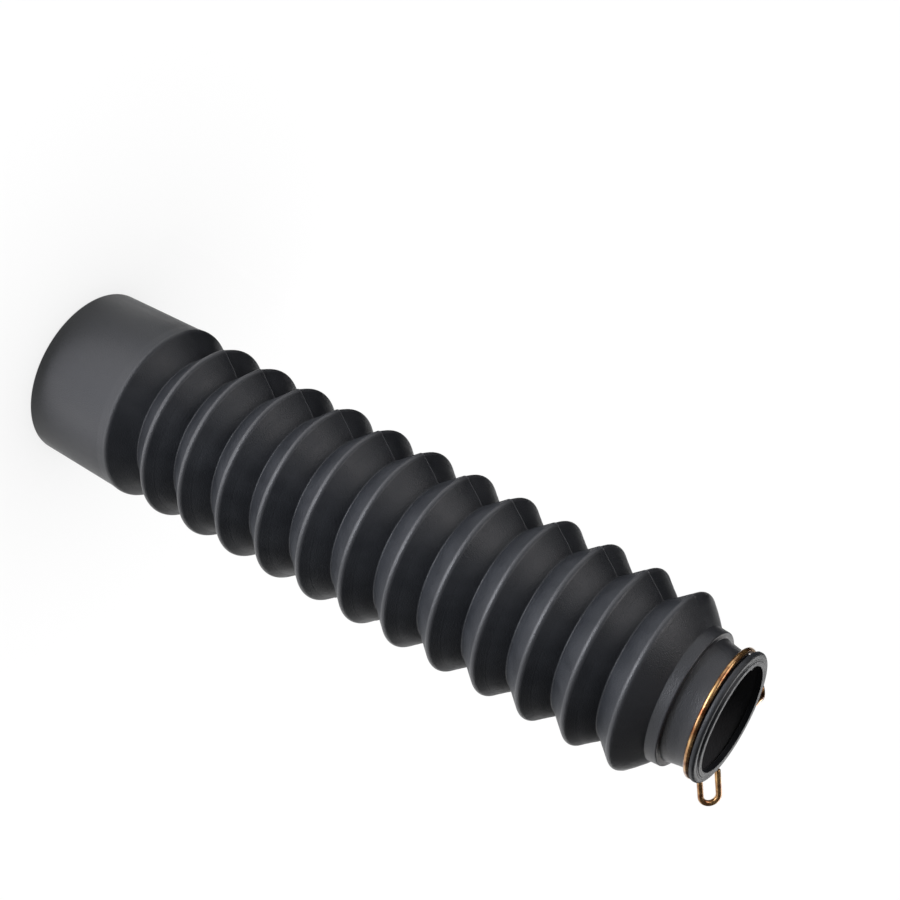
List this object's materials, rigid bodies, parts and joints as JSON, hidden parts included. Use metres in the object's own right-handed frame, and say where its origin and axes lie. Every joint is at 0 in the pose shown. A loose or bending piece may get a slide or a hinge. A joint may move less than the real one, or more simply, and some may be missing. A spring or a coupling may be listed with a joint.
{
  "type": "fork gaiter",
  "caption": "Hollow rubber bellows boot with a wide cuff, a stepped narrow mouth and a bent spring-wire clip, made to cover a telescopic motorcycle fork.",
  "frame": {"origin": "centre of the large cuff's rim, which the part stands on, on the axis of the fork tube", "axes": "+Z along the axis from the large cuff to the small mouth; +Y towards the side with the clip's two finger loops; +X to the right seen from -Y"},
  "size_m": [0.0674, 0.0696, 0.2836],
  "materials": {
    "rubber": "moulded black rubber, satin matte",
    "clip_wire": "yellow-passivated spring wire"
  },
  "bodies": {
    "root": {"gaiter_bellows": "rubber", "wire_clip": "clip_wire"}
  },
  "joints": []
}
